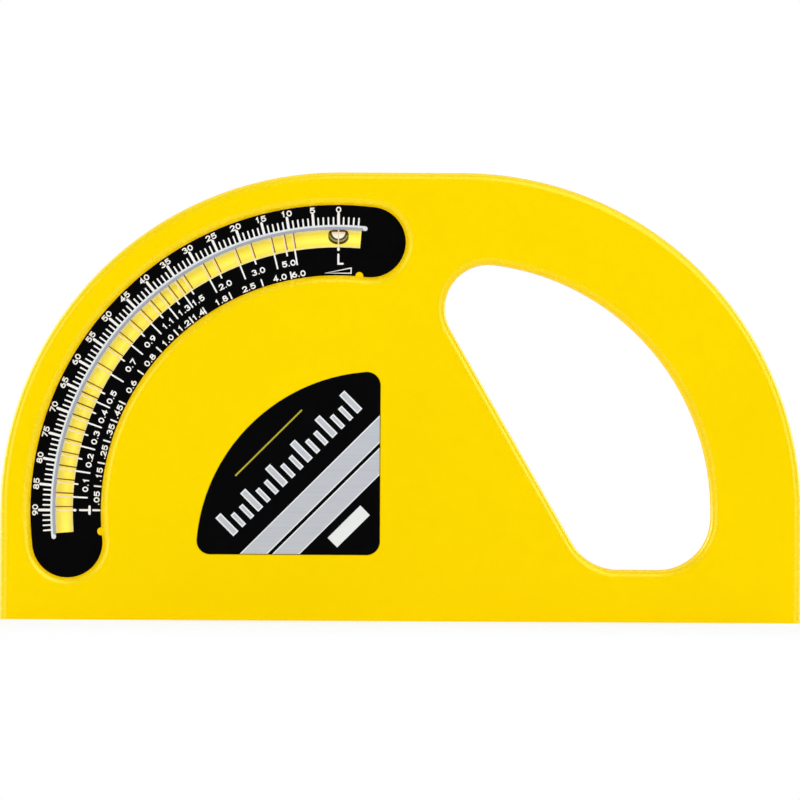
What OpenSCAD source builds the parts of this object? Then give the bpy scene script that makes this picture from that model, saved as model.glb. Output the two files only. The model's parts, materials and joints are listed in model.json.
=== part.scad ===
// Slant level: a hand-held casing with a curved spirit vial that reads the slope of its base.
// It is drawn lying on its back: x runs along the base, y up the face and z towards the reader.
// stand() then turns each piece upright. Angles are counted from the right, anticlockwise,
// so the level mark of the scale is at 90 and the plumb mark at 180.

/* [Casing] */
// Length of the measuring base
body_length = 200; // [190:1:215]
// Length of the flat top between the two shoulders
flat_top = 31; // [28:0.5:34]
// Height of the shoulders' centres above the base
centre_height = 27.5; // [25:0.5:31]
// Thickness from the front face to the back face
body_thickness = 20; // [19:0.5:26]
// Thickness of the moulded walls
wall = 2.4; // [2.2:0.1:2.8]
// Thickness of the wall behind the measuring face
base_wall = 3.2; // [2.6:0.1:3.6]
// Rounding of the casing's outer edges and of the rims of its openings
edge_round = 2.1; // [1:0.1:2.2]
// Chamfer along the line where the two shells meet
seam = 0.3; // [0.2:0.05:0.5]
// Width of the stiffening ribs
rib_width = 1.4; // [1:0.1:2]
// Height of the stiffening ribs above the inside of the face
rib_height = 3; // [2:0.1:4]
// Angle between neighbouring ribs
rib_step = 15; // [15:1:24]
// Height of the tongue that locates the two shells
tongue_height = 1; // [0.6:0.1:1.5]
// Thickness of the tongue
tongue_width = 0.8; // [0.6:0.1:1]
// Gap on each side of the tongue
tongue_gap = 0.1; // [0.05:0.01:0.2]

/* [Finger opening] */
// Width of the grip between the right shoulder and the opening
grip_width = 22.4; // [20:0.1:25]
// Height of the bar under the opening
foot_height = 13; // [11:0.5:15]
// Lean of the opening's left edge from upright
edge_lean = 30; // [26:1:34]
// Distance of that edge from the centre of the grip's arc
edge_offset = 19.8; // [18:0.1:23]
// Radius of the corner at the top
top_corner = 11; // [9:0.1:13]
// Radius of the corner at the bottom left
heel_corner = 13.5; // [11:0.1:14.5]
// Radius of the corner at the bottom right
toe_corner = 13.1; // [12:0.1:15]

/* [Scale window] */
// How far the scale's centre lies to the left of the shoulder's centre
scale_left = 0.4; // [0:0.1:0.8]
// How far the scale's centre lies below the shoulder's centre
scale_drop = 0.2; // [0:0.1:0.6]
// How much smaller the window's outer radius is than the shoulder's
window_rim = 7.8; // [7:0.1:9]
// Width of the window
window_width = 17.8; // [17:0.1:18.4]
// How far the window's round ends are centred past the level and plumb marks
window_overrun = 6.8; // [6:0.1:7.5]
// Depth of the scale below the front face
window_recess = 2.3; // [2.2:0.1:3]
// Thickness of the floor that carries the scale
window_floor = 1.4; // [1.2:0.1:1.8]
// Angle of the two locating keys past the level and plumb marks
key_overrun = 5.1; // [4:0.1:6]
// Width of a locating key
key_width = 1.8; // [1.4:0.1:2.2]
// Reach of a locating key into the window
key_reach = 1.1; // [0.9:0.1:1.4]
// Thickness of the clear scale plate
plate_thickness = 1; // [0.8:0.1:1.2]
// Thickness of the black mask on the scale plate
mask_thickness = 0.2; // [0.15:0.05:0.3]
// Gap between the scale plate and the casing
plate_gap = 0.1; // [0.05:0.01:0.15]
// Width of the sight slot in the mask
slot_width = 4.4; // [4:0.1:4.8]
// How far the sight slot runs past the level and plumb marks
slot_overrun = 4.7; // [4.3:0.1:5]

/* [Vial] */
// How far the vial's centre line lies outside the middle of the window
vial_offset = 0.4; // [0:0.1:0.8]
// Bore of the vial
vial_bore = 5; // [4.6:0.1:5.2]
// Thickness of the vial's wall
vial_wall = 0.8; // [0.6:0.1:1]
// How far the filled length runs past the level and plumb marks
fill_overrun = 7.5; // [7:0.1:8]
// Length of a plug inside the bore
plug_length = 2.6; // [2:0.1:3]
// Thickness of a plug's flange
plug_flange = 1.1; // [0.8:0.1:1.4]
// Gap between the vial and what touches it
vial_gap = 0.05; // [0.03:0.01:0.1]
// Diameter of the air bubble
bubble_diameter = 4.5; // [4:0.1:4.5]
// Film of liquid between the bubble and the upper side of the bore
bubble_film = 0.15; // [0.1:0.01:0.2]
// Gap between the bubble and the liquid around it
bubble_gap = 0.05; // [0.03:0.01:0.08]
// Thickness of the cradle beside and behind the vial
cradle_wall = 1.2; // [1:0.1:1.4]
// Thickness of the cradle's straps
strap_thickness = 1.6; // [1.2:0.1:2]
// Width of the cradle's straps
strap_width = 4.4; // [4:0.1:4.6]
// Diameter of the eyes at the ends of the straps
strap_eye = 5.4; // [5:0.1:6]
// Angle of the outer straps from the middle of the scale
strap_angle = 40; // [34:1:44]

/* [Fasteners] */
// Diameter of a case screw's shank
screw_diameter = 3; // [2.6:0.1:3.2]
// Length of a case screw under its head
screw_length = 11; // [10:0.5:11.5]
// Diameter of a case screw's head
screw_head = 5.6; // [5.2:0.1:6]
// Height of a case screw's head
screw_head_height = 2; // [1.8:0.1:2.4]
// Depth of the hole that sinks a case screw's head into the back
screw_sink = 4.6; // [4:0.1:5]
// Gap around a screw's shank and head
screw_gap = 0.25; // [0.1:0.05:0.3]
// Gap around a screw's thread in its pilot hole
thread_gap = 0.05; // [0.03:0.01:0.1]
// Wall of the screw bosses
boss_wall = 1.8; // [1.6:0.1:2]
// Diameter of a cradle screw's shank
cradle_screw_diameter = 2; // [1.8:0.1:2.2]
// Length of a cradle screw under its head
cradle_screw_length = 4.2; // [3.8:0.1:4.4]
// Diameter of a cradle screw's head
cradle_screw_head = 3.6; // [3.2:0.1:4]
// Height of a cradle screw's head
cradle_screw_head_height = 1.4; // [1.2:0.1:1.6]

/* [Name plate] */
// Reach of the plate from its square corner to its arc
name_radius = 45.8; // [42:0.1:47]
// Radius of the plate's corners
name_corner = 3.4; // [2:0.1:5]
// Distance of the square corner to the right of the scale's centre
name_right = 10.7; // [8:0.1:12]
// Distance of the square corner below the scale's centre
name_below = 10.8; // [9:0.1:13]
// Thickness of the plate
name_thickness = 0.4; // [0.3:0.05:0.6]
// Depth of the plate below the front face
name_recess = 0.1; // [0.05:0.05:0.2]
// Gap around the plate
name_gap = 0.1; // [0.05:0.05:0.2]

/* [Hidden] */
$fn = 96;

// Overshoot of a cutting tool past the face that it leaves
over = 1;
// How far a moulded piece runs on into the next one, so that they are one
bite = 0.1;
// How far the long stretches of a rim stand proud of its corners, and how far they run on into them
lap = 0.02;
lap_reach = 0.2;
// How far the flat faces stand proud of their rounded rims
rim_sink = 0.02;
level_mark = 90;
plumb_mark = 180;
middle_mark = (level_mark + plumb_mark) / 2;

// The casing
half = body_thickness / 2;
rim_round = min(edge_round, 0.9 * wall);
rim_top = half - rim_sink;
face_edge = 0.9 * rim_round;
shoulder_x = flat_top / 2;
shoulder_y = centre_height;
shoulder_radius = body_length / 2 - shoulder_x;
body_height = shoulder_y + shoulder_radius;
scale_centre = [-shoulder_x - scale_left, shoulder_y - scale_drop];
grip_centre = [shoulder_x, shoulder_y];
face_inside = half - wall;
tongue_inset = (wall - tongue_width) / 2;

// The finger opening: its long arc and then its corners, anticlockwise, each as an arc of
// [centre, radius, first angle, last angle]
opening_radius = shoulder_radius - grip_width;
into_opening = [cos(edge_lean), sin(edge_lean)];
along_edge = [-sin(edge_lean), cos(edge_lean)];
top_offset = edge_offset + top_corner;
top_rise = sqrt(pow(opening_radius - top_corner, 2) - pow(top_offset, 2));
top_centre = grip_centre + top_offset * into_opening + top_rise * along_edge;
heel_y = foot_height + heel_corner;
heel_reach = edge_offset + heel_corner - (heel_y - shoulder_y) * sin(edge_lean);
heel_centre = [shoulder_x + heel_reach / cos(edge_lean), heel_y];
toe_y = foot_height + toe_corner;
toe_reach = sqrt(pow(opening_radius - toe_corner, 2) - pow(toe_y - shoulder_y, 2));
toe_centre = [shoulder_x + toe_reach, toe_y];
top_turn = direction(top_centre - grip_centre);
toe_turn = direction(toe_centre - grip_centre);
opening = [
    [grip_centre, opening_radius, toe_turn, top_turn],
    [top_centre, top_corner, top_turn, 180 + edge_lean],
    [heel_centre, heel_corner, 180 + edge_lean, 270],
    [toe_centre, toe_corner, 270, 360 + toe_turn]
];

// The scale window, from its floor's back to the front of the mask
mask_front = half - window_recess;
plate_front = mask_front - mask_thickness;
floor_front = plate_front - plate_thickness;
floor_back = floor_front - window_floor;
window_outer = shoulder_radius - window_rim;
window_inner = window_outer - window_width;
window_radius = (window_inner + window_outer) / 2;
window_half = (plumb_mark - level_mark) / 2 + window_overrun;
key_round = key_width / 2;
key_centre_radius = window_inner + key_reach - key_round;
key_top = mask_front + rim_round / 3;

// The vial, which lies just behind the scale plate
vial_radius = window_radius + vial_offset;
vial_outer = vial_bore / 2 + vial_wall;
vial_height = floor_front - vial_gap - vial_outer;
tube_overrun = fill_overrun + arc_angle(plug_length);
plug_overrun = tube_overrun + arc_angle(plug_flange);
vial_room = vial_outer + vial_gap;
bubble_radius = vial_radius + vial_bore / 2 - bubble_film - bubble_diameter / 2;

// The cradle, held by screws in posts behind the window's floor
cradle_half = vial_outer + cradle_wall;
cradle_back = vial_height - vial_room - cradle_wall;
cradle_overrun = plug_overrun + arc_angle(vial_gap + cradle_wall);
strap_front = vial_height - vial_outer / 2;
strap_back = strap_front - strap_thickness;
strap_reach = cradle_half + strap_eye / 2;
strap_angles = [for (side = [-1, 0, 1]) middle_mark + side * strap_angle];
post_diameter = strap_eye - 2 * screw_gap;

// The case screws and their bosses
boss_diameter = screw_diameter + 2 * (thread_gap + boss_wall);
sink_diameter = screw_head + 2 * screw_gap;
back_boss_diameter = sink_diameter + 2 * boss_wall;
boss_room = back_boss_diameter / 2 + wall / 2;
head_seat = screw_sink - half;
pilot_depth = head_seat + screw_length + screw_gap;
boss_y = base_wall + boss_room;
boss_ring = window_inner - wall - boss_room;
boss_drop = scale_centre[1] - boss_y;
bosses = [
    scale_centre + [-sqrt(pow(boss_ring, 2) - pow(boss_drop, 2)), -boss_drop],
    [shoulder_x, boss_y],
    [body_length / 2 - wall - boss_room, boss_y],
    polar(grip_centre, shoulder_radius - grip_width / 2, 45),
    [top_centre[0], body_height - wall - boss_room],
    polar(scale_centre, boss_ring, middle_mark)
];

// The name plate: its long arc and then its corners, like those of the finger opening
name_centre = scale_centre + [name_right, -name_below];
name_rise = sqrt(pow(name_radius - name_corner, 2) - pow(name_corner, 2));
name_turn = direction([name_rise, name_corner]);
name_outline = [
    [name_centre, name_radius, 90 + name_turn, 180 - name_turn],
    [name_centre + [-name_rise, name_corner], name_corner, 180 - name_turn, 270],
    [name_centre + [-name_corner, name_corner], name_corner, 270, 360],
    [name_centre + [-name_corner, name_rise], name_corner, 0, 90 + name_turn]
];

function direction(vector) = atan2(vector[1], vector[0]);
function polar(centre, radius, angle) = centre + radius * [cos(angle), sin(angle)];
function arc_angle(length) = length / vial_radius * 180 / PI;
function arc_start(arc, grow) = polar(arc[0], arc[1] + grow, arc[2]);
function arc_end(arc, grow) = polar(arc[0], arc[1] + grow, arc[3]);

// Turns a piece from its back onto its base
module stand() {
    rotate([90, 0, 0]) children();
}

// The corners of a ring, without its long arc
function corners(loop) = [for (i = [1 : len(loop) - 1]) loop[i]];

// The flat shape inside a ring of a long arc, round corners and the straight edges that join them.
// The corners stand a little proud of what lies between them.
module loop_plan(loop, grow = 0) {
    long_arc = loop[0];
    reach = long_arc[1] + grow - lap;
    polygon([for (arc = corners(loop)) each [arc_start(arc, grow - lap), arc_end(arc, grow - lap)]]);
    for (arc = corners(loop)) translate(arc[0]) circle(arc[1] + grow);
    intersection() {
        translate(long_arc[0]) circle(reach);
        polygon([
            loop[len(loop) - 1][0], arc_start(long_arc, reach),
            arc_end(long_arc, reach), loop[1][0]
        ]);
    }
}

// A section drawn out along a straight edge, whose first axis points along normal_angle
module straight(from, normal_angle, length) {
    translate(from) rotate([90, 0, normal_angle]) linear_extrude(length) children();
}

// A section drawn round such a ring, with its first axis pointing outwards.
// The long arc and the straight edges stand a little proud and run on into the corners between them.
module loop_sweep(loop) {
    long_arc = loop[0];
    run_on = lap_reach / long_arc[1] * 180 / PI;
    translate(long_arc[0]) rotate(long_arc[2] - run_on)
        rotate_extrude(angle = long_arc[3] - long_arc[2] + 2 * run_on)
            translate([long_arc[1] - lap, 0]) children();
    for (arc = corners(loop)) translate(arc[0]) rotate(arc[2])
        rotate_extrude(angle = arc[3] - arc[2]) translate([arc[1], 0]) children();
    for (i = [1 : len(loop) - 2]) {
        first = arc_end(loop[i], -lap);
        last = arc_start(loop[i + 1], -lap);
        straight(polar(last, lap_reach, loop[i][3] + 90), loop[i][3], norm(last - first) + 2 * lap_reach)
            children();
    }
}

// A section drawn up the sides, round the shoulders and over the top, with its first axis pointing inwards
module outline_sweep(from_y = 0) {
    for (side = [0, 1]) mirror([side, 0, 0]) {
        translate(grip_centre) rotate_extrude(angle = 90)
            translate([shoulder_radius, 0]) mirror([1, 0]) children();
        straight([body_length / 2, from_y], 180, shoulder_y - from_y) children();
    }
    straight([shoulder_x, body_height], -90, 2 * shoulder_x) children();
}

// The casing's outline, drawn in by a wall and standing on a floor
module outline_plan(inset, floor_y) {
    corner = shoulder_radius - inset;
    for (side = [0, 1]) mirror([side, 0]) translate(grip_centre) intersection() {
        circle(corner);
        square(corner);
    }
    translate([inset - body_length / 2, floor_y])
        square([body_length - 2 * inset, shoulder_y - floor_y]);
    translate([-shoulder_x, shoulder_y]) square([2 * shoulder_x, corner]);
}

// Section of a wall whose rim rounds over into the flat face
module rounded_wall(from = 0) {
    translate([0, from]) square([wall, rim_top - rim_round - from]);
    translate([rim_round, from]) square([wall - rim_round, rim_top - from]);
    translate([rim_round, rim_top - rim_round]) intersection() {
        circle(rim_round);
        translate([-rim_round, 0]) square(rim_round);
    }
}

// The same section with the chamfer along the line where the two shells meet
module seamed_wall() {
    difference() {
        rounded_wall();
        rotate(45) square(sqrt(2) * seam, center = true);
    }
}

// A stretch of a ring about the scale's centre
module band(inner, outer, overrun, bottom, top) {
    translate(scale_centre) rotate(level_mark - overrun)
        rotate_extrude(angle = plumb_mark - level_mark + 2 * overrun)
            translate([inner, bottom]) square([outer - inner, top - bottom]);
}

// Each end of the window in turn, in a frame at the scale's centre whose first axis passes through
// the middle of the round end. That end's half of the band lies at negative angles.
module window_frames() {
    for (side = [0, 1]) translate(scale_centre) rotate(middle_mark) mirror([0, side, 0])
        rotate(window_half) children();
}

// A solid with the window's outline
module window_block(grow, bottom, top) {
    window_frames() {
        rotate_extrude(angle = -window_half - over) translate([window_inner - grow, bottom])
            square([window_width + 2 * grow, top - bottom]);
        translate([window_radius, 0, 0]) rotate_extrude(angle = 180) translate([0, bottom])
            square([window_width / 2 + grow, top - bottom]);
    }
}

// A section drawn round the window, with its first axis pointing away from the opening
module window_sweep() {
    window_frames() {
        rotate_extrude(angle = -window_half - over) translate([window_outer, 0]) children();
        rotate_extrude(angle = -window_half - over) translate([window_inner, 0]) mirror([1, 0]) children();
        translate([window_radius, 0, 0]) rotate_extrude(angle = 180)
            translate([window_width / 2, 0]) children();
    }
}

// The keys on the window's inner edge that locate the scale
module keys(grow, bottom, top) {
    for (mark = [level_mark - key_overrun, plumb_mark + key_overrun])
        translate(concat(scale_centre, bottom)) rotate(mark) {
            translate([key_centre_radius, 0, 0]) cylinder(r = key_round + grow, h = top - bottom);
            translate([window_inner - wall / 2, -key_round - grow, 0])
                cube([key_centre_radius - window_inner + wall / 2, 2 * (key_round + grow), top - bottom]);
        }
}

// Ribs behind a face: a fan about the scale's centre and spokes across the grip
module ribs() {
    fan_start = boss_ring / 3;
    fan_end = window_inner - wall / 2;
    for (angle = [level_mark : rib_step : plumb_mark]) rib(scale_centre, angle, fan_start, fan_end);
    for (angle = [0 : rib_step : top_turn])
        rib(grip_centre, angle, opening_radius + wall / 2, shoulder_radius - wall / 2);
}

module rib(centre, angle, inner, outer) {
    translate(concat(centre, face_inside - rib_height)) rotate(angle)
        translate([inner, -rib_width / 2, 0])
            cube([outer - inner, rib_width, rib_height + wall / 2]);
}

// One half of the casing: outer wall, base, wall of the finger opening, face and ribs
module half_shell() {
    outline_sweep() seamed_wall();
    translate([wall / 2 - body_length / 2, 0, 0]) cube([body_length - wall, base_wall, half - wall / 2]);
    loop_sweep(opening) seamed_wall();
    translate([0, 0, face_inside]) linear_extrude(wall) difference() {
        outline_plan(face_edge, 0);
        loop_plan(opening, face_edge);
    }
    ribs();
}

// The middle of each of the cradle's straps, with the first axis pointing away from the scale's centre
module at_straps() {
    for (angle = strap_angles)
        translate(scale_centre) rotate(angle) translate([vial_radius, 0, 0]) children();
}

// The two screws of each strap
module at_cradle_screws() {
    at_straps() for (side = [-1, 1]) translate([side * strap_reach, 0, 0]) children();
}

module front_shell() {
    color("gold") stand() difference() {
        union() {
            difference() {
                half_shell();
                window_block(face_edge, floor_back, half + over);
            }
            window_sweep() rounded_wall(floor_back);
            window_block(bite, floor_back, floor_front);
            keys(0, floor_back, key_top);
            for (place = bosses) translate(place) cylinder(d = boss_diameter, h = half - wall / 2);
            at_cradle_screws() translate([0, 0, strap_front])
                cylinder(d = post_diameter, h = floor_back + window_floor / 2 - strap_front);
            outline_sweep(base_wall) translate([tongue_inset, -tongue_height])
                square([tongue_width, tongue_height + wall / 2]);
        }
        band(vial_radius - vial_room, vial_radius + vial_room, plug_overrun + arc_angle(vial_gap),
            floor_back - over, floor_front + over);
        for (place = bosses) translate(concat(place, -over))
            cylinder(d = screw_diameter + 2 * thread_gap, h = pilot_depth + over);
        at_cradle_screws() translate([0, 0, strap_front - over])
            cylinder(d = cradle_screw_diameter + 2 * thread_gap, h = cradle_screw_length + over);
        translate([0, 0, half - name_recess - name_thickness])
            linear_extrude(name_recess + name_thickness + over) loop_plan(name_outline, name_gap);
    }
}

module rear_shell() {
    color("gold") stand() difference() {
        union() {
            mirror([0, 0, 1]) half_shell();
            for (place = bosses) translate(concat(place, wall / 2 - half))
                cylinder(d = back_boss_diameter, h = half - wall / 2);
        }
        outline_sweep(base_wall - tongue_gap)
            translate([tongue_inset - tongue_gap, -tongue_height - tongue_gap])
                square([tongue_width + 2 * tongue_gap, tongue_height + tongue_gap + over]);
        for (place = bosses) translate(concat(place, -half - over)) {
            cylinder(d = screw_diameter + 2 * screw_gap, h = half + 2 * over);
            cylinder(d = sink_diameter, h = screw_sink + over);
        }
    }
}

// A plain-headed screw, with its head's seat at height 0 and its shank pointing up
module screw(diameter, length, head, head_height) {
    cylinder(d = diameter, h = length);
    translate([0, 0, -head_height]) rotate_extrude() intersection() {
        square([head / 2, head_height]);
        translate([0, head]) circle(head);
    }
}

module case_screws() {
    color("silver") stand() for (place = bosses) translate(concat(place, head_seat))
        screw(screw_diameter, screw_length, screw_head, screw_head_height);
}

module cradle_screws() {
    color("silver") stand() at_cradle_screws() translate([0, 0, strap_back])
        screw(cradle_screw_diameter, cradle_screw_length, cradle_screw_head, cradle_screw_head_height);
}

module scale_plate() {
    color("lightyellow", 0.4) stand() difference() {
        window_block(-plate_gap, floor_front, plate_front);
        keys(plate_gap, floor_front - over, plate_front + over);
    }
}

module scale_mask() {
    color([0.05, 0.05, 0.05]) stand() difference() {
        window_block(-plate_gap, plate_front, mask_front);
        keys(plate_gap, plate_front - over, mask_front + over);
        band(vial_radius - slot_width / 2, vial_radius + slot_width / 2, slot_overrun,
            plate_front - over, mask_front + over);
    }
}

// A bent rod on the vial's centre line, between two angles
module vial_rod(radius, first, last) {
    translate(concat(scale_centre, vial_height)) rotate(first) rotate_extrude(angle = last - first)
        translate([vial_radius, 0]) circle(radius);
}

// The same rod over the whole scale, with an equal overrun at both ends
module vial_span(radius, overrun) {
    vial_rod(radius, level_mark - overrun, plumb_mark + overrun);
}

module vial_tube() {
    color("white", 0.4) stand() difference() {
        vial_span(vial_outer, tube_overrun);
        vial_span(vial_bore / 2, tube_overrun + over);
    }
}

// A stopper that fills the end of the bore and covers the end of the tube
module plug(inner_angle, tube_angle, flange_angle) {
    vial_rod(vial_bore / 2, min(inner_angle, flange_angle), max(inner_angle, flange_angle));
    vial_rod(vial_outer, min(tube_angle, flange_angle), max(tube_angle, flange_angle));
}

module upper_plug() {
    color("dimgray") stand()
        plug(level_mark - fill_overrun, level_mark - tube_overrun, level_mark - plug_overrun);
}

module lower_plug() {
    color("dimgray") stand()
        plug(plumb_mark + fill_overrun, plumb_mark + tube_overrun, plumb_mark + plug_overrun);
}

module at_bubble() {
    translate(concat(polar(scale_centre, bubble_radius, level_mark), vial_height)) children();
}

module spirit_fill() {
    color("yellow", 0.6) stand() difference() {
        vial_span(vial_bore / 2, fill_overrun);
        at_bubble() sphere(d = bubble_diameter + 2 * bubble_gap);
    }
}

module air_bubble() {
    color("white", 0.6) stand() at_bubble() sphere(d = bubble_diameter);
}

module vial_cradle() {
    color("khaki") stand() difference() {
        union() {
            band(vial_radius - cradle_half, vial_radius + cradle_half, cradle_overrun,
                cradle_back, vial_height);
            at_straps() translate([-strap_reach, -strap_width / 2, strap_back])
                cube([2 * strap_reach, strap_width, strap_thickness]);
            at_cradle_screws() translate([0, 0, strap_back])
                cylinder(d = strap_eye, h = strap_thickness);
        }
        vial_span(vial_room, plug_overrun + arc_angle(vial_gap));
        at_cradle_screws() translate([0, 0, strap_back - over])
            cylinder(d = cradle_screw_diameter + 2 * screw_gap, h = strap_thickness + 2 * over);
    }
}

module name_plate() {
    color([0.1, 0.1, 0.1]) stand() translate([0, 0, half - name_recess - name_thickness])
        linear_extrude(name_thickness) loop_plan(name_outline);
}

front_shell();
rear_shell();
case_screws();
scale_plate();
scale_mask();
vial_tube();
upper_plug();
lower_plug();
spirit_fill();
air_bubble();
vial_cradle();
cradle_screws();
name_plate();
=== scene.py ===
import json
import math

import bmesh
import bpy
from mathutils import Matrix, Vector


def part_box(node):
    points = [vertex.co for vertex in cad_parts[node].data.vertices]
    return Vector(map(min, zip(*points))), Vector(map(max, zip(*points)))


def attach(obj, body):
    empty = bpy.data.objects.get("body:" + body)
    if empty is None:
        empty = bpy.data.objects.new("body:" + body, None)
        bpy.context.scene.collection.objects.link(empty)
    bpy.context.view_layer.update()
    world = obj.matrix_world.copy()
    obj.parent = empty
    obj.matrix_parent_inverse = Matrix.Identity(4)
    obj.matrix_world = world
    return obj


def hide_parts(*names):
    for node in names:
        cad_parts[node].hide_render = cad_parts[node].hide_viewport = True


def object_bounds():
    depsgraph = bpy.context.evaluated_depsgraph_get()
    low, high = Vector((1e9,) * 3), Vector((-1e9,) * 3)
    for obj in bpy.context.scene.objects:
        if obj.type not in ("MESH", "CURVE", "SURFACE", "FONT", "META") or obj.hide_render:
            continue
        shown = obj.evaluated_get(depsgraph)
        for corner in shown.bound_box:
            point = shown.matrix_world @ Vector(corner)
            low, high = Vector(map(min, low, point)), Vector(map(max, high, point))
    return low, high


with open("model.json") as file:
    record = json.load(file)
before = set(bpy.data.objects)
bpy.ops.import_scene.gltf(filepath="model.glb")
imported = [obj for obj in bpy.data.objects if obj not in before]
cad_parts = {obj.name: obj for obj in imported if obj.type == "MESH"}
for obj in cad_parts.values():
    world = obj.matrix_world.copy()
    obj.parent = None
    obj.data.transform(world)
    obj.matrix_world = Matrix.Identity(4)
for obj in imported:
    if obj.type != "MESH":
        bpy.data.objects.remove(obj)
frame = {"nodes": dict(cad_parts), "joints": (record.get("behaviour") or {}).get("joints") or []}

cad_low, cad_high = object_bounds()

MM = 0.001
LEVEL = 0
PLUMB = 90

# Print: how far ink stands out of what carries it and sinks into it, and the step between inks that overlap
INK = 0.03
INK_SINK = 0.02
LAYER = 0.004

# Places in metres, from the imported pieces
hinge = frame["joints"][0]["pos_m"]
scale_centre = Vector((hinge[0], hinge[2]))
vial_depth = hinge[1]
mask_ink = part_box("scale_mask")[0].y - INK * MM
plate_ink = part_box("scale_plate")[0].y - INK * MM
plate_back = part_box("scale_plate")[1].y
label_low, label_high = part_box("name_plate")
label_ink = label_low.y - INK * MM
label_corner = Vector((label_high.x, label_low.z))

# The printed scale: radii about the scale's centre, and widths of lines
SLOT_INNER = 66.0
SLOT_OUTER = 70.4
STRIP_INNER = 70.42
STRIP_MIDDLE = 71.1
STRIP_OUTER = 71.6
TICK_OUTER = 73.4
FIVE_TICK_OUTER = 74.4
DEGREE_NUMBER_RADIUS = 75.4
MARK_OUTER = 65.7
MARK_INNER = 65.4
SHORT_TICK_INNER = 65.1
LONG_TICK_INNER = 62.5
FIRST_ROW_RADIUS = 63.1
SECOND_ROW_RADIUS = 60.1
DIVIDER_OUTER = 60.9
DIVIDER_INNER = 59.3
TICK_WIDTH = 0.4
FIVE_TICK_WIDTH = 0.66
NUMBER_HEIGHT = 1.2
NUMBER_STROKE = 0.32

# Degrees that the ticks and the strip run past the level and plumb marks
TICK_OVERRUN = 4
STRIP_OVERRUN = 5.4

# Signs at the level and plumb marks
SIGN_OUTER = 64.2
SIGN_WIDTH = 0.5
LEVEL_SIGN_INNER = 61.9
LEVEL_FOOT = 1.1
PLUMB_SIGN_INNER = 61.8
PLUMB_BASE_HALF = 0.9
PLUMB_BASE_WIDTH = 0.6
WEDGE_RADIUS = 59.55
WEDGE_HALF = 3.2
WEDGE_RISE = 1.3
WEDGE_LINE = 0.28

# Lines across the sight slot, and how far to the right and up the brown ones lie from the pale ones: the
# brown ones are painted shadows of the pale ones
SIGHT_INNER = 65.8
SIGHT_WIDTH = 0.32
LINE_SHADOW_SHIFT = (0.14, 0.85)

# The two rows of slope numbers, each the run for a rise of one
FIRST_ROW = "0.1 0.2 0.3 0.4 0.5 0.7 0.9 1.1 1.3 1.5 2.0 3.0 5.0".split()
SECOND_ROW = ".05 .15 .25 .35 .45 0.6 0.8 1.0 1.2 1.4 1.8 2.5 4.0 6.0".split()

# The liquid: its overrun and the step of its rings are degrees, and a painted highlight pales it over a span
# off its centre line
VIAL_RADIUS = 68.2
LIQUID_RADIUS = 2.3
LIQUID_SIDES = 36
LIQUID_STEP = 1.5
LIQUID_OVERRUN = 7.4
PAINTED_HIGHLIGHT_SPAN = (1.4, 2.1)

# The bubble: half its width and height about its middle, the power that squares its outer half, and the rings
# of its two patches, each as a share of its outline and a distance from the vial's centre line
BUBBLE_RADIUS = 68.6
BUBBLE_WIDE = 2.6
BUBBLE_TALL = 1.9
BUBBLE_SQUARE = 0.5
BUBBLE_SIDES = 48
EDGE_RINGS = ((0.2, 2.36), (0.9, 2.36), (0.97, 2.34), (1.0, 2.2))
AIR_RINGS = ((0.2, 2.46), (0.5, 2.45), (0.82, 2.42), (0.9, 2.34))

# The bubble's pale core of painted light, and the spans of the painted dark rings round it in shares of the
# core's size
CORE_RADIUS = 69.75
CORE_WIDE = 1.65
CORE_TALL = 1.55
CORE_BLUR = 0.2
CORE_EDGE = (0.95, 1.1)
OLIVE_EDGE = (1.27, 1.38)
OUTER_EDGE = (1.5, 1.62)

# The plate with the stripes: distances from its square corner, along its edges for the stripes and across
# the stripes for the rest, and spans along the stripes from their middle. Bars are half their width and their
# length.
STRIPES = ((20.1, 26.95), (28.15, 35.05))
STRIPE_BORDER = 0.4
LABEL_MARGIN = 0.12
BAR_COUNT = 16
BAR_STEP = 2.9
BAR_NEAR = 29.0
BAR_OUTLINE = 0.34
LONG_BAR_EVERY = 3
LONG_BAR = (0.9, 6.4)
SHORT_BAR = (0.65, 4.2)
GOLD_LINE = ((-11.7, 11.7), (39.2, 39.6))
BLANK_FIELD = ((-6.2, 5.3), (8.8, 12.2))

# The case screws: points nearer to each other than the spacing are of one screw, and turns are degrees
SCREW_SPACING = 8
SCREW_SIDES = 40
HEAD_RADIUS = 2.8
HEAD_HEIGHT = 2.0
DOME_RISE = 1.1
DOME_TURNS = (0, 15, 30, 45, 60, 75, 88)
SHANK_RADIUS = 1.45
POINT_RADIUS = 0.4
POINT_LENGTH = 1.0
CROSS_SIZE = (3.2, 2.0, 0.75)
CROSS_TURNS = (45, 135)

# The casing's finish: the parting line fades over a span from mid thickness. Gloss drops from rim to face
# over a span of the normal's Y part, and from rim to steep wall over a span of the turn away from the viewer.
SEAM_SPAN = (0.1, 0.4)
FACE_SPAN = (0.96, 0.999)
WALL_SPAN = (0.45, 0.8)


# Material building

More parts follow.
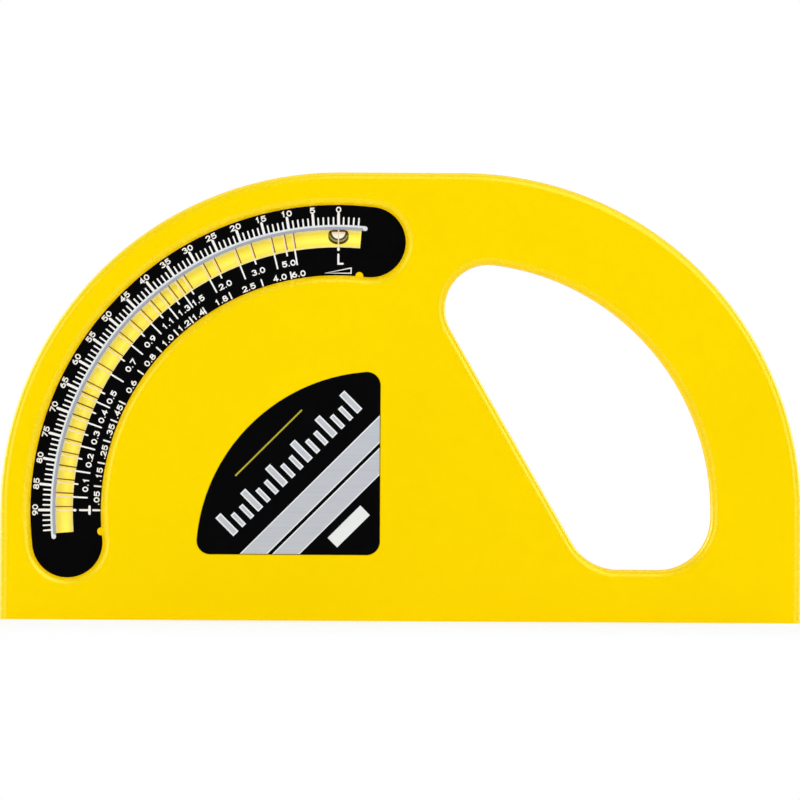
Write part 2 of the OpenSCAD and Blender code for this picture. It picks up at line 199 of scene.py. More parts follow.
class NodeTree:
    """The nodes of a material or a world, with short calls to add and join them."""

    def __init__(self, owner):
        owner.use_nodes = True
        self.tree = owner.node_tree
        self.tree.nodes.clear()

    def add(self, kind, sockets=None, **settings):
        node = self.tree.nodes.new("ShaderNode" + kind)
        for key, value in settings.items():
            setattr(node, key, value)
        for key, value in (sockets or {}).items():
            if isinstance(value, bpy.types.NodeSocket):
                self.tree.links.new(value, node.inputs[key])
            else:
                node.inputs[key].default_value = value
        return node

    def math(self, operation, first, second=0.0):
        return self.add("Math", {0: first, 1: second}, operation=operation).outputs[0]

    def vector_math(self, operation, *inputs):
        """The number that a length or distance comes to, or the vector of any other operation."""
        node = self.add("VectorMath", dict(enumerate(inputs)), operation=operation)
        return node.outputs["Value" if operation in ("LENGTH", "DISTANCE") else "Vector"]

    def along(self, axis, vector):
        return self.add("SeparateXYZ", {"Vector": vector}).outputs[axis]

    def mix_shader(self, share, first, second):
        return self.add("MixShader", {0: share, 1: first, 2: second}).outputs[0]


class Shader(NodeTree):
    """A material whose textures lie in its object's own coordinates. Noise scales are counts per metre."""

    def __init__(self, name):
        self.material = bpy.data.materials.new(name)
        super().__init__(self.material)
        self.place = self.add("TexCoord").outputs["Object"]

    def noise(self, scale, detail=2.0):
        node = self.add("TexNoise", {"Vector": self.place, "Scale": scale, "Detail": detail})
        return node.outputs["Fac"]

    def ramp(self, value, span, low=0.0, high=1.0, **settings):
        """A value that runs from low to high while the given one runs over the span."""
        sockets = {"Value": value, "From Min": span[0], "From Max": span[1], "To Min": low, "To Max": high}
        return self.add("MapRange", sockets, **settings).outputs["Result"]

    def spread(self, value, low, high):
        """A 0 to 1 value stretched between low and high."""
        return self.ramp(value, (0.0, 1.0), low, high)

    def mix_colour(self, share, first, second):
        return self.add("Mix", {"Factor": share, 6: first, 7: second}, data_type="RGBA").outputs[2]

    def bump(self, height, distance, strength=1.0):
        sockets = {"Height": height, "Distance": distance * MM, "Strength": strength}
        return self.add("Bump", sockets).outputs[0]

    def principled(self, **sockets):
        names = {key.replace("_", " "): value for key, value in sockets.items()}
        return self.add("BsdfPrincipled", names).outputs[0]

    def finish(self, surface):
        self.add("OutputMaterial", {"Surface": surface})
        return self.material


def rgb(red, green, blue):
    """A colour written as a screen shows it, 0 to 255, in linear light."""
    def linear(value):
        share = value / 255
        return share / 12.92 if share <= 0.04045 else ((share + 0.055) / 1.055) ** 2.4
    return (linear(red), linear(green), linear(blue), 1.0)


def grey(share):
    return (share, share, share, 1.0)


def in_metres(span):
    return [size * MM for size in span]


def casing_plastic():
    """Yellow moulded plastic: satin flat faces, polished rims, dull steep walls and a darker parting line."""
    look = Shader("casing_plastic")
    yellow = look.mix_colour(look.noise(28, 3), rgb(250, 214, 0), rgb(255, 221, 0))
    from_middle = look.math("ABSOLUTE", look.along("Y", look.place))
    seam = look.ramp(from_middle, in_metres(SEAM_SPAN), 0.75, 0.0)
    colour = look.mix_colour(seam, yellow, rgb(176, 136, 4))
    flatness = look.math("ABSOLUTE", look.along("Y", look.add("NewGeometry").outputs["Normal"]))
    steepness = look.add("LayerWeight", {"Blend": 0.5}).outputs["Facing"]
    rim_gloss = look.ramp(flatness, FACE_SPAN, 1.0, 0.05)
    gloss = look.math("MULTIPLY", rim_gloss, look.ramp(steepness, WALL_SPAN, 1.0, 0.0))
    return look.finish(look.principled(
        Base_Color=colour, Roughness=look.spread(look.noise(420, 3), 0.24, 0.3),
        Specular_IOR_Level=gloss, Specular_Tint=(1.0, 1.0, 0.22, 1.0),
        Normal=look.bump(look.noise(900), 0.002, 0.4)))


def black_film():
    """Near-black printed film with a faint satin grain."""
    look = Shader("black_film")
    shade = look.mix_colour(look.noise(160, 3), rgb(1, 1, 2), rgb(6, 6, 8))
    return look.finish(look.principled(
        Base_Color=shade, Roughness=look.spread(look.noise(900), 0.32, 0.42), Specular_IOR_Level=0.03,
        Normal=look.bump(look.noise(3000), 0.005)))


def clear_plastic(name, tint, roughness):
    """Clear moulded plastic: it lets light straight through and reflects at its outer surface."""
    look = Shader(name)
    haze = look.mix_colour(look.noise(120), tint, grey(1.0))
    through = look.add("BsdfTransparent", {"Color": haze}).outputs[0]
    rough = look.spread(look.noise(700, 3), roughness, roughness + 0.05)
    gloss = look.add("BsdfGlossy", {"Roughness": rough}).outputs[0]
    outside = look.math("SUBTRACT", 1.0, look.add("NewGeometry").outputs["Backfacing"])
    mirror = look.math("MULTIPLY", outside, look.add("Fresnel", {"IOR": 1.35}).outputs[0])
    return look.finish(look.mix_shader(mirror, through, gloss))


def yellow_spirit():
    """Bright yellow vial liquid, with painted highlights along both sides of the bore, and painted light of
    its own that is paler at the sides.
    """
    look = Shader("yellow_spirit")
    flat = look.vector_math("MULTIPLY", look.place, (1, 0, 1))
    radius = look.vector_math("DISTANCE", flat, (scale_centre.x, 0, scale_centre.y))
    off_axis = look.math("ABSOLUTE", look.math("SUBTRACT", radius, VIAL_RADIUS * MM))
    # Painted highlight: the liquid pales towards both sides of the bore
    side = look.ramp(off_axis, in_metres(PAINTED_HIGHLIGHT_SPAN))
    body = look.mix_colour(look.noise(140), rgb(252, 236, 66), rgb(255, 240, 100))
    colour = look.mix_colour(side, body, rgb(255, 248, 160))
    # Painted light: the liquid gives off light of its own, paler at the sides
    painted_glow = look.mix_colour(side, rgb(208, 192, 60), rgb(255, 250, 180))
    return look.finish(look.principled(
        Base_Color=colour, Roughness=0.3, Specular_IOR_Level=0.3,
        Emission_Color=painted_glow, Emission_Strength=0.44))


def bubble_air():
    """The inside of an air bubble: a pale core of painted light, cut off towards the outer side of the bore
    by a painted shadow, in painted dark rings.
    """
    look = Shader("bubble_air")
    core = on_scale(CORE_RADIUS, LEVEL)
    offset = look.vector_math("SUBTRACT", look.place, (core.x, 0, core.y))
    shares = look.vector_math("MULTIPLY", offset, (1 / (CORE_WIDE * MM), 0, 1 / (CORE_TALL * MM)))
    reach = look.vector_math("LENGTH", shares)
    # Painted light and shade: a bright core inside dark and olive rings
    white = look.mix_colour(look.noise(500), rgb(255, 252, 248), rgb(253, 240, 232))
    dark = rgb(54, 42, 8)
    olive = look.mix_colour(look.ramp(reach, OLIVE_EDGE), dark, rgb(150, 142, 56))
    ring = look.mix_colour(look.ramp(reach, OUTER_EDGE), olive, dark)
    painted_core_and_rings = look.mix_colour(look.ramp(reach, CORE_EDGE), white, ring)
    # Painted shadow: brown over the core's outer side
    strip_shadow = look.ramp(look.along("Z", offset), (0.0, CORE_BLUR * MM))
    shade = look.mix_colour(strip_shadow, painted_core_and_rings, rgb(128, 84, 60))
    # Painted light: the bubble gives off its own colour as light
    return look.finish(look.principled(
        Base_Color=shade, Roughness=0.15, Specular_IOR_Level=0.5,
        Emission_Color=shade, Emission_Strength=0.25))


def paint(name, colour, roughness, metal=0.0):
    """Printed or moulded opaque colour with a fine grain."""
    look = Shader(name)
    deeper = tuple(0.88 * part for part in colour[:3]) + (1.0,)
    shade = look.mix_colour(look.noise(350, 3), colour, deeper)
    rough = look.spread(look.noise(1200), roughness - 0.05, roughness + 0.07)
    return look.finish(look.principled(
        Base_Color=shade, Roughness=rough, Metallic=metal, Specular_IOR_Level=0.3,
        Normal=look.bump(look.noise(2400), 0.004)))


def brushed_silver():
    """Silver with fine brushing along the stripes."""
    look = Shader("brushed_silver")
    grain = look.add("Mapping", {"Vector": look.place, "Rotation": (0, math.radians(45), 0),
                                 "Scale": (60, 60, 4200)}).outputs[0]
    brush = look.add("TexNoise", {"Vector": grain, "Scale": 1.0, "Detail": 2.0}).outputs["Fac"]
    shade = look.mix_colour(brush, rgb(180, 186, 198), rgb(202, 206, 214))
    return look.finish(look.principled(
        Base_Color=shade, Roughness=look.spread(brush, 0.4, 0.55), Metallic=0.15,
        Specular_IOR_Level=0.3, Normal=look.bump(brush, 0.004)))


def zinc_steel():
    """Zinc-plated screw steel, slightly mottled."""
    look = Shader("zinc_steel")
    shade = look.mix_colour(look.noise(900, 3), rgb(176, 178, 182), rgb(206, 206, 208))
    return look.finish(look.principled(
        Base_Color=shade, Roughness=look.spread(look.noise(2000, 3), 0.25, 0.42), Metallic=1.0,
        Normal=look.bump(look.noise(5000), 0.006)))


# Building pieces

def add_piece(name, mesh, material, body="level"):
    piece = bpy.data.objects.new(name, mesh)
    bpy.context.scene.collection.objects.link(piece)
    mesh.materials.append(material)
    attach(piece, body)
    return piece


def to_mesh(name, build, smooth=False):
    mesh = bpy.data.meshes.new(name)
    build.to_mesh(mesh)
    build.free()
    for face in mesh.polygons:
        face.use_smooth = smooth
    return mesh


def vertex(build, place, depth):
    """Adds a vertex at a place (x, z) of the front view and a depth (y)."""
    return build.verts.new((place.x, depth, place.y))


def flat_face(sheet, places, depth):
    sheet.faces.new([vertex(sheet, place, depth) for place in places])


def full_turn(sides):
    return [2 * math.pi * k / sides for k in range(sides)]


def skin(build, rings):
    """Adds the faces between each ring of vertices and the next."""
    for ring, following in zip(rings, rings[1:]):
        for k in range(len(ring)):
            after = (k + 1) % len(ring)
            build.faces.new((ring[k], ring[after], following[after], following[k]))


def closed_skin(build, rings):
    """Adds the faces between rings of vertices, and a face over each end."""
    skin(build, rings)
    build.faces.new(rings[0])
    build.faces.new(rings[-1])
    bmesh.ops.recalc_face_normals(build, faces=build.faces)


def printed(name, sheet, material):
    """A flat print: its faces look at the reader, and its thickness goes back into what carries it."""
    for face in sheet.faces:
        face.normal_update()
        if face.normal.y > 0:
            face.normal_flip()
    piece = add_piece(name, to_mesh(name, sheet), material)
    thickness = piece.modifiers.new("thickness", "SOLIDIFY")
    thickness.thickness = (INK + INK_SINK) * MM
    thickness.offset = -1


# Lines: the gap in metres that counts as none, the limit on sharp corners, and the turns that round an end
SAME_PLACE = 1e-9
LEAST_MITRE = 0.4
END_TURNS = (math.pi / 4, math.pi / 2, 3 * math.pi / 4)


def ribbon(sheet, path, width, depth):
    """Adds a flat line of this width along places (x, z), with round ends unless it closes on itself."""
    closed = (path[0] - path[-1]).length < SAME_PLACE
    places = path[:-1] if closed else path
    count = len(places)
    half = width * MM / 2
    edges = []
    for i, place in enumerate(places):
        steps = []
        if closed or i > 0:
            steps.append((place - places[i - 1]).normalized())
        if closed or i < count - 1:
            steps.append((places[(i + 1) % count] - place).normalized())
        along = sum(steps, Vector((0, 0))).normalized()
        across = Vector((-along.y, along.x)) * half / max(LEAST_MITRE, along.dot(steps[0]))
        edges.append((vertex(sheet, place + across, depth), vertex(sheet, place - across, depth)))
    for i in range(count if closed else count - 1):
        left, right = edges[i]
        next_left, next_right = edges[(i + 1) % count]
        sheet.faces.new((left, right, next_right, next_left))
    if closed:
        return
    for end, beside, pair in ((places[0], places[1], edges[0]), (places[-1], places[-2], edges[-1])):
        out = (end - beside).normalized() * half
        across = Vector((pair[0].co.x, pair[0].co.z)) - end
        rounding = [end + math.cos(turn) * across + math.sin(turn) * out for turn in END_TURNS]
        sheet.faces.new([pair[0], *[vertex(sheet, place, depth) for place in rounding], pair[1]])


def on_scale(radius, reading):
    turn = math.radians(reading)
    return scale_centre + radius * MM * Vector((-math.sin(turn), math.cos(turn)))


def radial(sheet, inner, outer, reading, width, depth):
    ribbon(sheet, [on_scale(inner, reading), on_scale(outer, reading)], width, depth)


def ring_line(sheet, inner, outer, first, last, depth):
    steps = int(last - first)
    middle = (inner + outer) / 2
    path = [on_scale(middle, first + (last - first) * i / steps) for i in range(steps + 1)]
    ribbon(sheet, path, outer - inner, depth)


# Numbers

def bow(x, y, wide, high, first, last):
    """Points of an arc of an ellipse about (x, y), from one angle to another."""
    steps = max(3, round(abs(last - first) / 24))
    turns = [math.radians(first + (last - first) * i / steps) for i in range(steps + 1)]
    return [Vector((x + wide * math.cos(turn), y + high * math.sin(turn))) for turn in turns]


def bent(*points):
    return [Vector(point) for point in points]


# Strokes of the numerals, in a cell one unit high that is centred on x = 0
NUMERALS = {
    "0": [bow(0, 0.5, 0.43, 0.5, 90, 450)],
    "1": [bent((-0.2, 0.78), (0.06, 1), (0.06, 0))],
    "2": [bow(0, 0.7, 0.4, 0.3, 165, -35) + bent((-0.42, 0), (0.44, 0))],
    "3": [bow(-0.02, 0.76, 0.38, 0.24, 150, -80), bow(-0.02, 0.26, 0.43, 0.26, 80, -150)],
    "4": [bent((0.18, 0), (0.18, 1), (-0.44, 0.3)), bent((-0.44, 0.3), (0.46, 0.3))],
    "5": [bent((0.38, 1), (-0.3, 1), (-0.35, 0.56)) + bow(0, 0.33, 0.43, 0.33, 122, -150)],
    "6": [bow(0, 0.3, 0.42, 0.3, 0, 360), bow(0.38, 0.32, 0.8, 0.68, 180, 108)],
    "7": [bent((-0.4, 1), (0.43, 1), (-0.08, 0))],
    "8": [bow(0, 0.76, 0.35, 0.24, 90, 450), bow(0, 0.26, 0.43, 0.26, 90, 450)],
    "9": [bow(0, 0.7, 0.42, 0.3, 180, 540), bow(-0.38, 0.68, 0.8, 0.68, 0, -72)],
    ".": [bent((0, 0), (0, 0.02))],
}
ADVANCE = {".": 0.55}
FULL_ADVANCE = 1.24


def number(sheet, text, radius, reading):
    """Writes a number at a place on the scale, with its top pointing away from the scale's centre."""
    turn = math.radians(reading)
    up = Vector((-math.sin(turn), math.cos(turn)))
    along = Vector((math.cos(turn), math.sin(turn)))
    size = NUMBER_HEIGHT * MM
    advances = [ADVANCE.get(sign, FULL_ADVANCE) for sign in text]
    start = -sum(advances) / 2
    layer = 0
    for sign, advance in zip(text, advances):
        middle = on_scale(radius, reading) + along * size * (start + advance / 2)
        for stroke in NUMERALS[sign]:
            path = [middle + size * (point.x * along + (point.y - 0.5) * up) for point in stroke]
            ribbon(sheet, path, NUMBER_STROKE, mask_ink - layer * LAYER * MM)
            layer += 1
        start += advance


# The printed scale, and the painted shade and shadows beside its lines

def slope_reading(text):
    return math.degrees(math.atan2(1, float(text)))


def degree_scale(ink):
    ticks = bmesh.new()
    for reading in range(LEVEL - TICK_OVERRUN, PLUMB + TICK_OVERRUN + 1):
        five = reading % 5 == 0 and LEVEL <= reading <= PLUMB
        outer, width = (FIVE_TICK_OUTER, FIVE_TICK_WIDTH) if five else (TICK_OUTER, TICK_WIDTH)
        radial(ticks, STRIP_OUTER, outer, reading, width, mask_ink)
    printed("degree_ticks", ticks, ink)
    numbers = bmesh.new()
    for reading in range(LEVEL, PLUMB + 1, 5):
        number(numbers, str(reading), DEGREE_NUMBER_RADIUS, reading)
    printed("degree_numbers", numbers, ink)


def slope_scale(ink):
    ticks = bmesh.new()
    numbers = bmesh.new()
    for text in FIRST_ROW:
        reading = slope_reading(text)
        radial(ticks, SHORT_TICK_INNER, SLOT_INNER, reading, TICK_WIDTH, mask_ink)
        radial(ticks, DIVIDER_INNER, DIVIDER_OUTER, reading, TICK_WIDTH, mask_ink)
        number(numbers, text, FIRST_ROW_RADIUS, reading)
    for text in SECOND_ROW:
        reading = slope_reading(text)
        radial(ticks, LONG_TICK_INNER, SLOT_INNER, reading, TICK_WIDTH, mask_ink)
        number(numbers, text, SECOND_ROW_RADIUS, reading)
    for mark in (LEVEL, PLUMB):
        radial(ticks, MARK_INNER, MARK_OUTER, mark, FIVE_TICK_WIDTH, mask_ink)
    printed("slope_ticks", ticks, ink)
    printed("slope_numbers", numbers, ink)


def level_and_plumb_signs(ink):
    """A right angle at the level mark, an upright on a base at the plumb mark, and a wedge for slope."""
    signs = bmesh.new()
    heel = on_scale(LEVEL_SIGN_INNER, LEVEL)
    toe = heel + Vector((LEVEL_FOOT * MM, 0))
    ribbon(signs, [on_scale(SIGN_OUTER, LEVEL), heel, toe], SIGN_WIDTH, mask_ink)
    radial(signs, PLUMB_SIGN_INNER, SIGN_OUTER, PLUMB, SIGN_WIDTH, mask_ink)
    base = on_scale(PLUMB_SIGN_INNER, PLUMB)
    half_base = Vector((0, PLUMB_BASE_HALF * MM))
    ribbon(signs, [base - half_base, base + half_base], PLUMB_BASE_WIDTH, mask_ink - LAYER * MM)
    radial(signs, DIVIDER_INNER, DIVIDER_OUTER, PLUMB, SIGN_WIDTH, mask_ink)
    corners = bent((-WEDGE_HALF, 0), (WEDGE_HALF, 0), (WEDGE_HALF, WEDGE_RISE), (-WEDGE_HALF, 0))
    wedge = [on_scale(WEDGE_RADIUS, LEVEL) + MM * corner for corner in corners]
    ribbon(signs, wedge, WEDGE_LINE, mask_ink)
    printed("level_and_plumb_signs", signs, ink)


# A line this short is all round ends, so it shows as a dot
DOT_LENGTH = 0.01


def scale_strip(white, strip_shade_ink):
    """The line along the outer side of the sight slot: white print with painted shade in grey on its inner
    side, and white round ends.
    """
    first = LEVEL - STRIP_OVERRUN
    last = PLUMB + STRIP_OVERRUN
    outer = bmesh.new()
    ring_line(outer, STRIP_MIDDLE, STRIP_OUTER, first, last, mask_ink - LAYER * MM)
    for reading in (first, last):
        end = on_scale((STRIP_INNER + STRIP_OUTER) / 2, reading)
        dot = [end, end + Vector((0, DOT_LENGTH * MM))]
        ribbon(outer, dot, STRIP_OUTER - STRIP_INNER, mask_ink - 2 * LAYER * MM)
    printed("scale_strip_white", outer, white)
    # Painted shade: the grey inner half of the line
    inner = bmesh.new()
    ring_line(inner, STRIP_INNER, STRIP_MIDDLE, first, last, mask_ink)
    printed("scale_strip_painted_shade", inner, strip_shade_ink)


def sight_lines(pale, brown):
    """Fine lines across the sight slot: pale ones on the plate's front, and brown painted shadows of them on
    its back.
    """
    front = bmesh.new()
    back = bmesh.new()
    shift = MM * Vector(LINE_SHADOW_SHIFT)
    for reading in [slope_reading(text) for text in FIRST_ROW + SECOND_ROW] + [LEVEL, PLUMB]:
        line = [on_scale(SIGHT_INNER, reading), on_scale(SLOT_OUTER, reading)]
        ribbon(front, line, SIGHT_WIDTH, plate_ink)
        if reading > LEVEL:
            # Painted shadow: each pale line again on the plate's back, shifted to the right and up
            ribbon(back, [place + shift for place in line], SIGHT_WIDTH, plate_back)
    printed("pale_sight_lines", front, pale)
    printed("painted_line_shadows", back, brown)


# The vial

def in_vial(reading, off_axis, forward):
    """A point in the vial: off its centre line, away from the scale's centre, and forward of it."""
    place = on_scale(VIAL_RADIUS + off_axis, reading)
    return Vector((place.x, vial_depth - forward * MM, place.y))


def spirit(material):
    """The liquid: a bent rod, slightly slimmer than the bore, so that the bubble shows at its front."""
    first = LEVEL - LIQUID_OVERRUN
    last = PLUMB + LIQUID_OVERRUN
    count = round((last - first) / LIQUID_STEP)
    section = [LIQUID_RADIUS * Vector((math.cos(turn), math.sin(turn))) for turn in full_turn(LIQUID_SIDES)]
    build = bmesh.new()
    rings = []
    for i in range(count + 1):
        reading = first + (last - first) * i / count
        rings.append([build.verts.new(in_vial(reading, point.x, -point.y)) for point in section])
    closed_skin(build, rings)
    piece = add_piece("spirit", to_mesh("spirit", build, smooth=True), material)
    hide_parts("spirit_fill")


def bubble_point(share, turn, lift):
    """A point of the bubble at a share of its outline, a turn about its middle, and a lift off the vial's
    centre line. The outer side of the bore squares the outer half of its outline."""
    power = BUBBLE_SQUARE if math.sin(turn) > 0 else 1
    along = math.copysign(abs(math.cos(turn)) ** power, math.cos(turn))
    out = math.copysign(abs(math.sin(turn)) ** power, math.sin(turn))
    radius = BUBBLE_RADIUS + share * BUBBLE_TALL * out
    off_axis = radius - VIAL_RADIUS
    reading = math.degrees(-share * BUBBLE_WIDE * along / radius)
    return in_vial(reading, off_axis, math.sqrt(max(0, lift * lift - off_axis * off_axis)))


def bubble_patch(name, sizes, material):
    """A closed patch against the front of the bore, from rings (share, lift) that start near its middle."""
    turns = full_turn(BUBBLE_SIDES)
    build = bmesh.new()
    middle = build.verts.new(bubble_point(0, 0, sizes[0][1]))
    rings = [[build.verts.new(bubble_point(share, turn, lift)) for turn in turns] for share, lift in sizes]
    for k in range(BUBBLE_SIDES):
        build.faces.new((middle, rings[0][k], rings[0][(k + 1) % BUBBLE_SIDES]))
    skin(build, rings)
    build.faces.new(rings[-1])
    bmesh.ops.recalc_face_normals(build, faces=build.faces)
    return add_piece(name, to_mesh(name, build, smooth=True), material, "bubble")


def bubble(air, edge):
    """The air bubble at the level mark: its inside, and the dark rim round it, which is painted shade."""
    dark = bubble_patch("bubble_shade_ring", EDGE_RINGS, edge)
    pale = bubble_patch("bubble_air", AIR_RINGS, air)
    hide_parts("air_bubble")
    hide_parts("air_bubble")


# The plate with the stripes

def stripe(sheet, near, far, depth):
    """A band across the plate's square corner, between two distances along its edges."""
    start = near - LABEL_MARGIN
    end = far - LABEL_MARGIN
    corners = bent((-start, LABEL_MARGIN), (-end, LABEL_MARGIN), (-LABEL_MARGIN, end), (-LABEL_MARGIN, start))
    flat_face(sheet, [label_corner + MM * corner for corner in corners], depth)


def label_stripes(white, silver):
    borders = bmesh.new()
    bands = bmesh.new()
    for near, far in STRIPES:
        stripe(borders, near, far, label_ink)
        stripe(bands, near + STRIPE_BORDER, far - STRIPE_BORDER, label_ink - 2 * LAYER * MM)
    printed("stripe_borders", borders, white)
    printed("stripe_bands", bands, silver)


def block(sheet, along, across, depth):
    """A flat oblong on the plate, from its spans along the stripes, counted from their middle, and across
    them, counted from the square corner."""
    side = MM * Vector((1, 1)).normalized()
    out = MM * Vector((-1, 1)).normalized()
    low, high = across
    corners = bent((along[0], low), (along[1], low), (along[1], high), (along[0], high))
    flat_face(sheet, [label_corner + corner.x * side + corner.y * out for corner in corners], depth)


def label_rule(white, silver):
    """A row of long and short bars with white outlines."""
    outlines = bmesh.new()
    fills = bmesh.new()
    for i in range(BAR_COUNT):
        middle = (i - (BAR_COUNT - 1) / 2) * BAR_STEP
        half, tall = SHORT_BAR if i % LONG_BAR_EVERY else LONG_BAR
        inner_half = half - BAR_OUTLINE
        block(outlines, (middle - half, middle + half), (BAR_NEAR, BAR_NEAR + tall), label_ink)
        block(fills, (middle - inner_half, middle + inner_half),
              (BAR_NEAR + BAR_OUTLINE, BAR_NEAR + tall - BAR_OUTLINE), label_ink - 2 * LAYER * MM)
    printed("label_rule_outlines", outlines, white)
    printed("label_rule_fills", fills, silver)


def label_block(name, spans, material):
    sheet = bmesh.new()
    block(sheet, *spans, label_ink)
    printed(name, sheet, material)


# The screws

def screw_places():
    """The middle of each case screw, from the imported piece, whose screws lie well apart."""
    groups = []
    for vert in frame["nodes"]["case_screws"].data.vertices:
        place = Vector((vert.co.x, vert.co.z))
        for group in groups:
            if (place - group[0]).length < SCREW_SPACING * MM:
                group.append(place)
                break
        else:
            groups.append([place])
    return [(Vector(map(min, zip(*group))) + Vector(map(max, zip(*group)))) / 2 for group in groups]


def screw_outline(point, back):
    """Radius and depth of a pan-headed screw in metres, from its point to the top of its dome."""
    seat = back - HEAD_HEIGHT * MM
    shank = SHANK_RADIUS * MM
    head = HEAD_RADIUS * MM
    outline = [(POINT_RADIUS * MM, point), (shank, point + POINT_LENGTH * MM), (shank, seat), (head, seat)]
    for turn in map(math.radians, DOME_TURNS):
        outline.append((head * math.cos(turn), back - DOME_RISE * MM * (1 - math.sin(turn))))
    return outline


def turned(build, centre, outline):
    """Adds a solid turned about the depth axis through a centre, from (radius, depth) points in metres."""
    circle = [Vector((math.cos(turn), math.sin(turn))) for turn in full_turn(SCREW_SIDES)]
    rings = []
    for radius, depth in outline:
        rings.append([vertex(build, centre + radius * point, depth) for point in circle])
    closed_skin(build, rings)


def cut_crosses(piece, places, back):
    """Cuts a cross recess into the head of each screw."""
    arms = bmesh.new()
    size = Matrix.Diagonal((*in_metres(CROSS_SIZE), 1))
    for place in places:
        for turn in CROSS_TURNS:
            arm = Matrix.Translation((place.x, back, place.y)) @ Matrix.Rotation(math.radians(turn), 4, "Y")
            bmesh.ops.create_cube(arms, size=1, matrix=arm @ size)
    cutter = bpy.data.objects.new("cross_cutter", to_mesh("cross_cutter", arms))
    bpy.context.scene.collection.objects.link(cutter)
    recess = piece.modifiers.new("recess", "BOOLEAN")
    recess.operation = "DIFFERENCE"
    recess.solver = "EXACT"
    recess.use_self = True
    recess.object = cutter
    solid = piece.evaluated_get(bpy.context.evaluated_depsgraph_get())
    piece.modifiers.clear()
    piece.data = bpy.data.meshes.new_from_object(solid)
    bpy.data.objects.remove(cutter)


def case_screws(material):
    """Pan-headed screws with a cross recess, sunk into the back."""
    low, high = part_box("case_screws")
    places = screw_places()
    build = bmesh.new()
    for place in places:
        turned(build, place, screw_outline(low.y, high.y))
    piece = add_piece("case_screw_set", to_mesh("case_screw_set", build), material)
    cut_crosses(piece, places, high.y)
    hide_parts("case_screws")


# Putting it together

def dress_nodes(steel):
    """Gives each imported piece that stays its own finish, and lets light through to the liquid."""
    casing = casing_plastic()
    film = black_film()
    rubber = paint("plug_rubber", rgb(52, 52, 54), 0.7)
    finishes = {
        "front_shell": casing,
        "rear_shell": casing,
        "scale_mask": film,
        "name_plate": film,
        "scale_plate": clear_plastic("clear_plate", rgb(253, 254, 252), 0.05),
        "vial_tube": clear_plastic("vial_glass", rgb(254, 254, 250), 0.03),
        "upper_plug": rubber,
        "lower_plug": rubber,
        "vial_cradle": paint("cradle_plastic", rgb(238, 236, 214), 0.5),
        "cradle_screws": steel,
    }
    for name, material in finishes.items():
        mesh = frame["nodes"][name].data
        mesh.materials.clear()
        mesh.materials.append(material)
    for name in ("scale_plate", "vial_tube", "scale_mask"):
        frame["nodes"][name].visible_shadow = False
        frame["nodes"][name].visible_diffuse = False


def print_scale():
    white = paint("white_ink", rgb(250, 250, 250), 0.55)
    degree_scale(white)
    slope_scale(white)
    level_and_plumb_signs(white)
    # The strip's grey inner half is painted shade
    scale_strip(paint("strip_ink", rgb(228, 232, 236), 0.55), paint("strip_shade_ink", rgb(164, 170, 186), 0.5))
    pale = paint("pale_line_ink", rgb(246, 228, 190), 0.55)
    # Brown lines: painted shadows of the pale sight lines
    brown = paint("painted_line_shadow_ink", rgb(150, 100, 20), 0.55)
    sight_lines(pale, brown)


def print_label():
    """The stripes, and a graduated rule, a blank field and a fine gold line beside them."""
    white = paint("label_white_ink", rgb(238, 242, 246), 0.5)
    silver = brushed_silver()
    label_stripes(white, silver)
    label_rule(white, silver)
    label_block("label_field", BLANK_FIELD, white)
    label_block("label_gold_line", GOLD_LINE, paint("gold_ink", rgb(190, 180, 40), 0.4, metal=0.2))


# Studio, in metres: the camera, the floor and how it fades into white, the room's light and the lamps.
# The camera's roll is in degrees and its sensor in millimetres.

CAMERA_DISTANCE = 5.0
CAMERA_ROLL = 0.316
VIEW_WIDTH = 199.73 * MM
VIEW_SIDE = -0.31 * MM
VIEW_HEIGHT = 55.25 * MM
SENSOR_WIDTH = 36
FAR_CLIP = 100
FLOOR_REACH = 12
FLOOR_FADE = (0.12, 0.4)
FLOOR_NEAR_SHARE = 0.55
ROOM_GREY = 0.5
DARK_GREY = 0.1
LAMP_DISTANCE = 1.5
SIDE_LAMP = (0.85, 1.0)
TOP_LAMP = (1.6, 1.2)


def studio_camera():
    lens = bpy.data.cameras.new("camera")
    lens.sensor_width = SENSOR_WIDTH
    lens.lens = SENSOR_WIDTH * CAMERA_DISTANCE / VIEW_WIDTH
    lens.clip_end = FAR_CLIP
    camera = bpy.data.objects.new("camera", lens)
    place = Matrix.Translation((VIEW_SIDE, cad_low.y - CAMERA_DISTANCE, VIEW_HEIGHT))
    level = Matrix.Rotation(math.radians(90), 4, "X")
    roll = Matrix.Rotation(math.radians(CAMERA_ROLL), 4, "Z")
    camera.matrix_world = place @ level @ roll
    bpy.context.scene.collection.objects.link(camera)
    bpy.context.scene.camera = camera


def studio_floor():
    """A pale floor that keeps the object's shadow near it and runs out into white further away."""
    look = Shader("floor_paper")
    path = look.add("LightPath").outputs
    mirrored = look.math("MAXIMUM", path["Is Glossy Ray"], path["Is Transmission Ray"])
    seen = look.math("MAXIMUM", path["Is Camera Ray"], mirrored)
    tone = look.mix_colour(look.noise(6), grey(0.94), grey(0.96))
    paper = look.add("BsdfDiffuse", {"Color": tone}).outputs[0]
    white = look.add("Emission", {"Color": grey(1.0), "Strength": 1.0}).outputs[0]
    from_object = look.vector_math("LENGTH", look.place)
    share = look.ramp(from_object, FLOOR_FADE, FLOOR_NEAR_SHARE, 1.0, interpolation_type="SMOOTHSTEP")
    veil = look.mix_shader(share, paper, white)
    mesh = bpy.data.meshes.new("floor")
    corners = [(x * FLOOR_REACH, y * FLOOR_REACH, 0) for x, y in ((-1, -1), (1, -1), (1, 1), (-1, 1))]
    mesh.from_pydata(corners, [], [(0, 1, 2, 3)])
    mesh.materials.append(look.finish(look.mix_shader(seen, paper, veil)))
    floor = bpy.data.objects.new("floor", mesh)
    bpy.context.scene.collection.objects.link(floor)


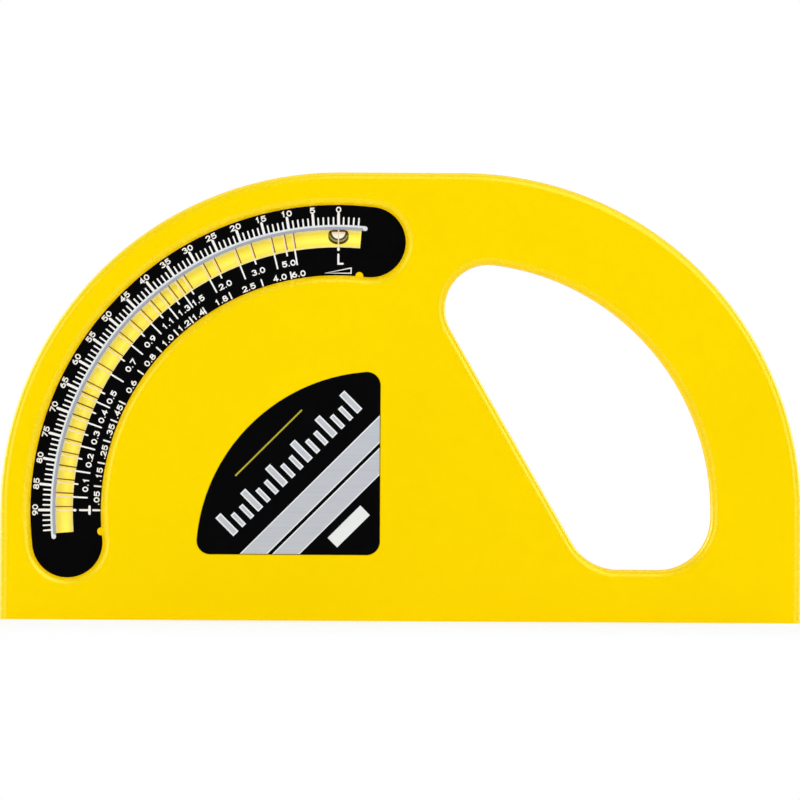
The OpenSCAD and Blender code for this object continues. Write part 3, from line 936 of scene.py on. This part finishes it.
def studio_world():
    """A white background, dim even light from all round, and a dark room on the reader's side."""
    world = bpy.data.worlds.new("studio")
    bpy.context.scene.world = world
    sky = NodeTree(world)
    path = sky.add("LightPath").outputs
    depth = sky.along("Y", sky.add("TexCoord").outputs["Generated"])
    behind = sky.math("GREATER_THAN", depth, 0.0)
    mirrored = sky.math("MULTIPLY", path["Is Glossy Ray"], behind)
    straight = sky.math("MAXIMUM", path["Is Camera Ray"], path["Is Transmission Ray"])
    seen = sky.math("MAXIMUM", mirrored, straight)
    room, dark, white = [sky.add("Background", {"Color": grey(share)}).outputs[0]
                         for share in (ROOM_GREY, DARK_GREY, 1.0)]
    unseen = sky.mix_shader(path["Is Glossy Ray"], room, dark)
    sky.add("OutputWorld", {"Surface": sky.mix_shader(seen, unseen, white)})


def softbox(name, azimuth, elevation, size, power):
    """A flat lamp seen from the object at this azimuth and elevation, which looks at the object."""
    lamp = bpy.data.lights.new(name, "AREA")
    lamp.shape = "RECTANGLE"
    lamp.size, lamp.size_y = size
    lamp.energy = power
    turn = math.radians(azimuth)
    rise = math.radians(elevation)
    towards = Vector((math.sin(turn) * math.cos(rise), -math.cos(turn) * math.cos(rise), math.sin(rise)))
    holder = bpy.data.objects.new(name, lamp)
    holder.location = Vector((0, 0, VIEW_HEIGHT)) + LAMP_DISTANCE * towards
    holder.rotation_euler = (-towards).to_track_quat("-Z", "Y").to_euler()
    holder.visible_camera = False
    bpy.context.scene.collection.objects.link(holder)
    return holder


def studio_lamps():
    """Soft boxes at four sides, a card that shows only in gloss, and a ceiling lamp that gloss leaves out."""
    for side in (-1, 1):
        softbox("front_box", azimuth=side * 50, elevation=12, size=SIDE_LAMP, power=6.5)
        softbox("back_box", azimuth=side * 130, elevation=12, size=SIDE_LAMP, power=6.8)
    card = softbox("top_card", azimuth=38, elevation=46, size=TOP_LAMP, power=15)
    card.visible_diffuse = False
    ceiling = softbox("ceiling_box", azimuth=0, elevation=90, size=TOP_LAMP, power=7.2)
    ceiling.visible_glossy = False


steel = zinc_steel()
dress_nodes(steel)
print_scale()
print_label()
spirit(yellow_spirit())
# The dark patch round the bubble is painted shade
bubble(bubble_air(), paint("bubble_painted_shade", rgb(70, 62, 20), 0.35))
case_screws(steel)

studio_camera()
studio_floor()
studio_world()
studio_lamps()
bpy.context.scene.view_settings.view_transform = "Standard"
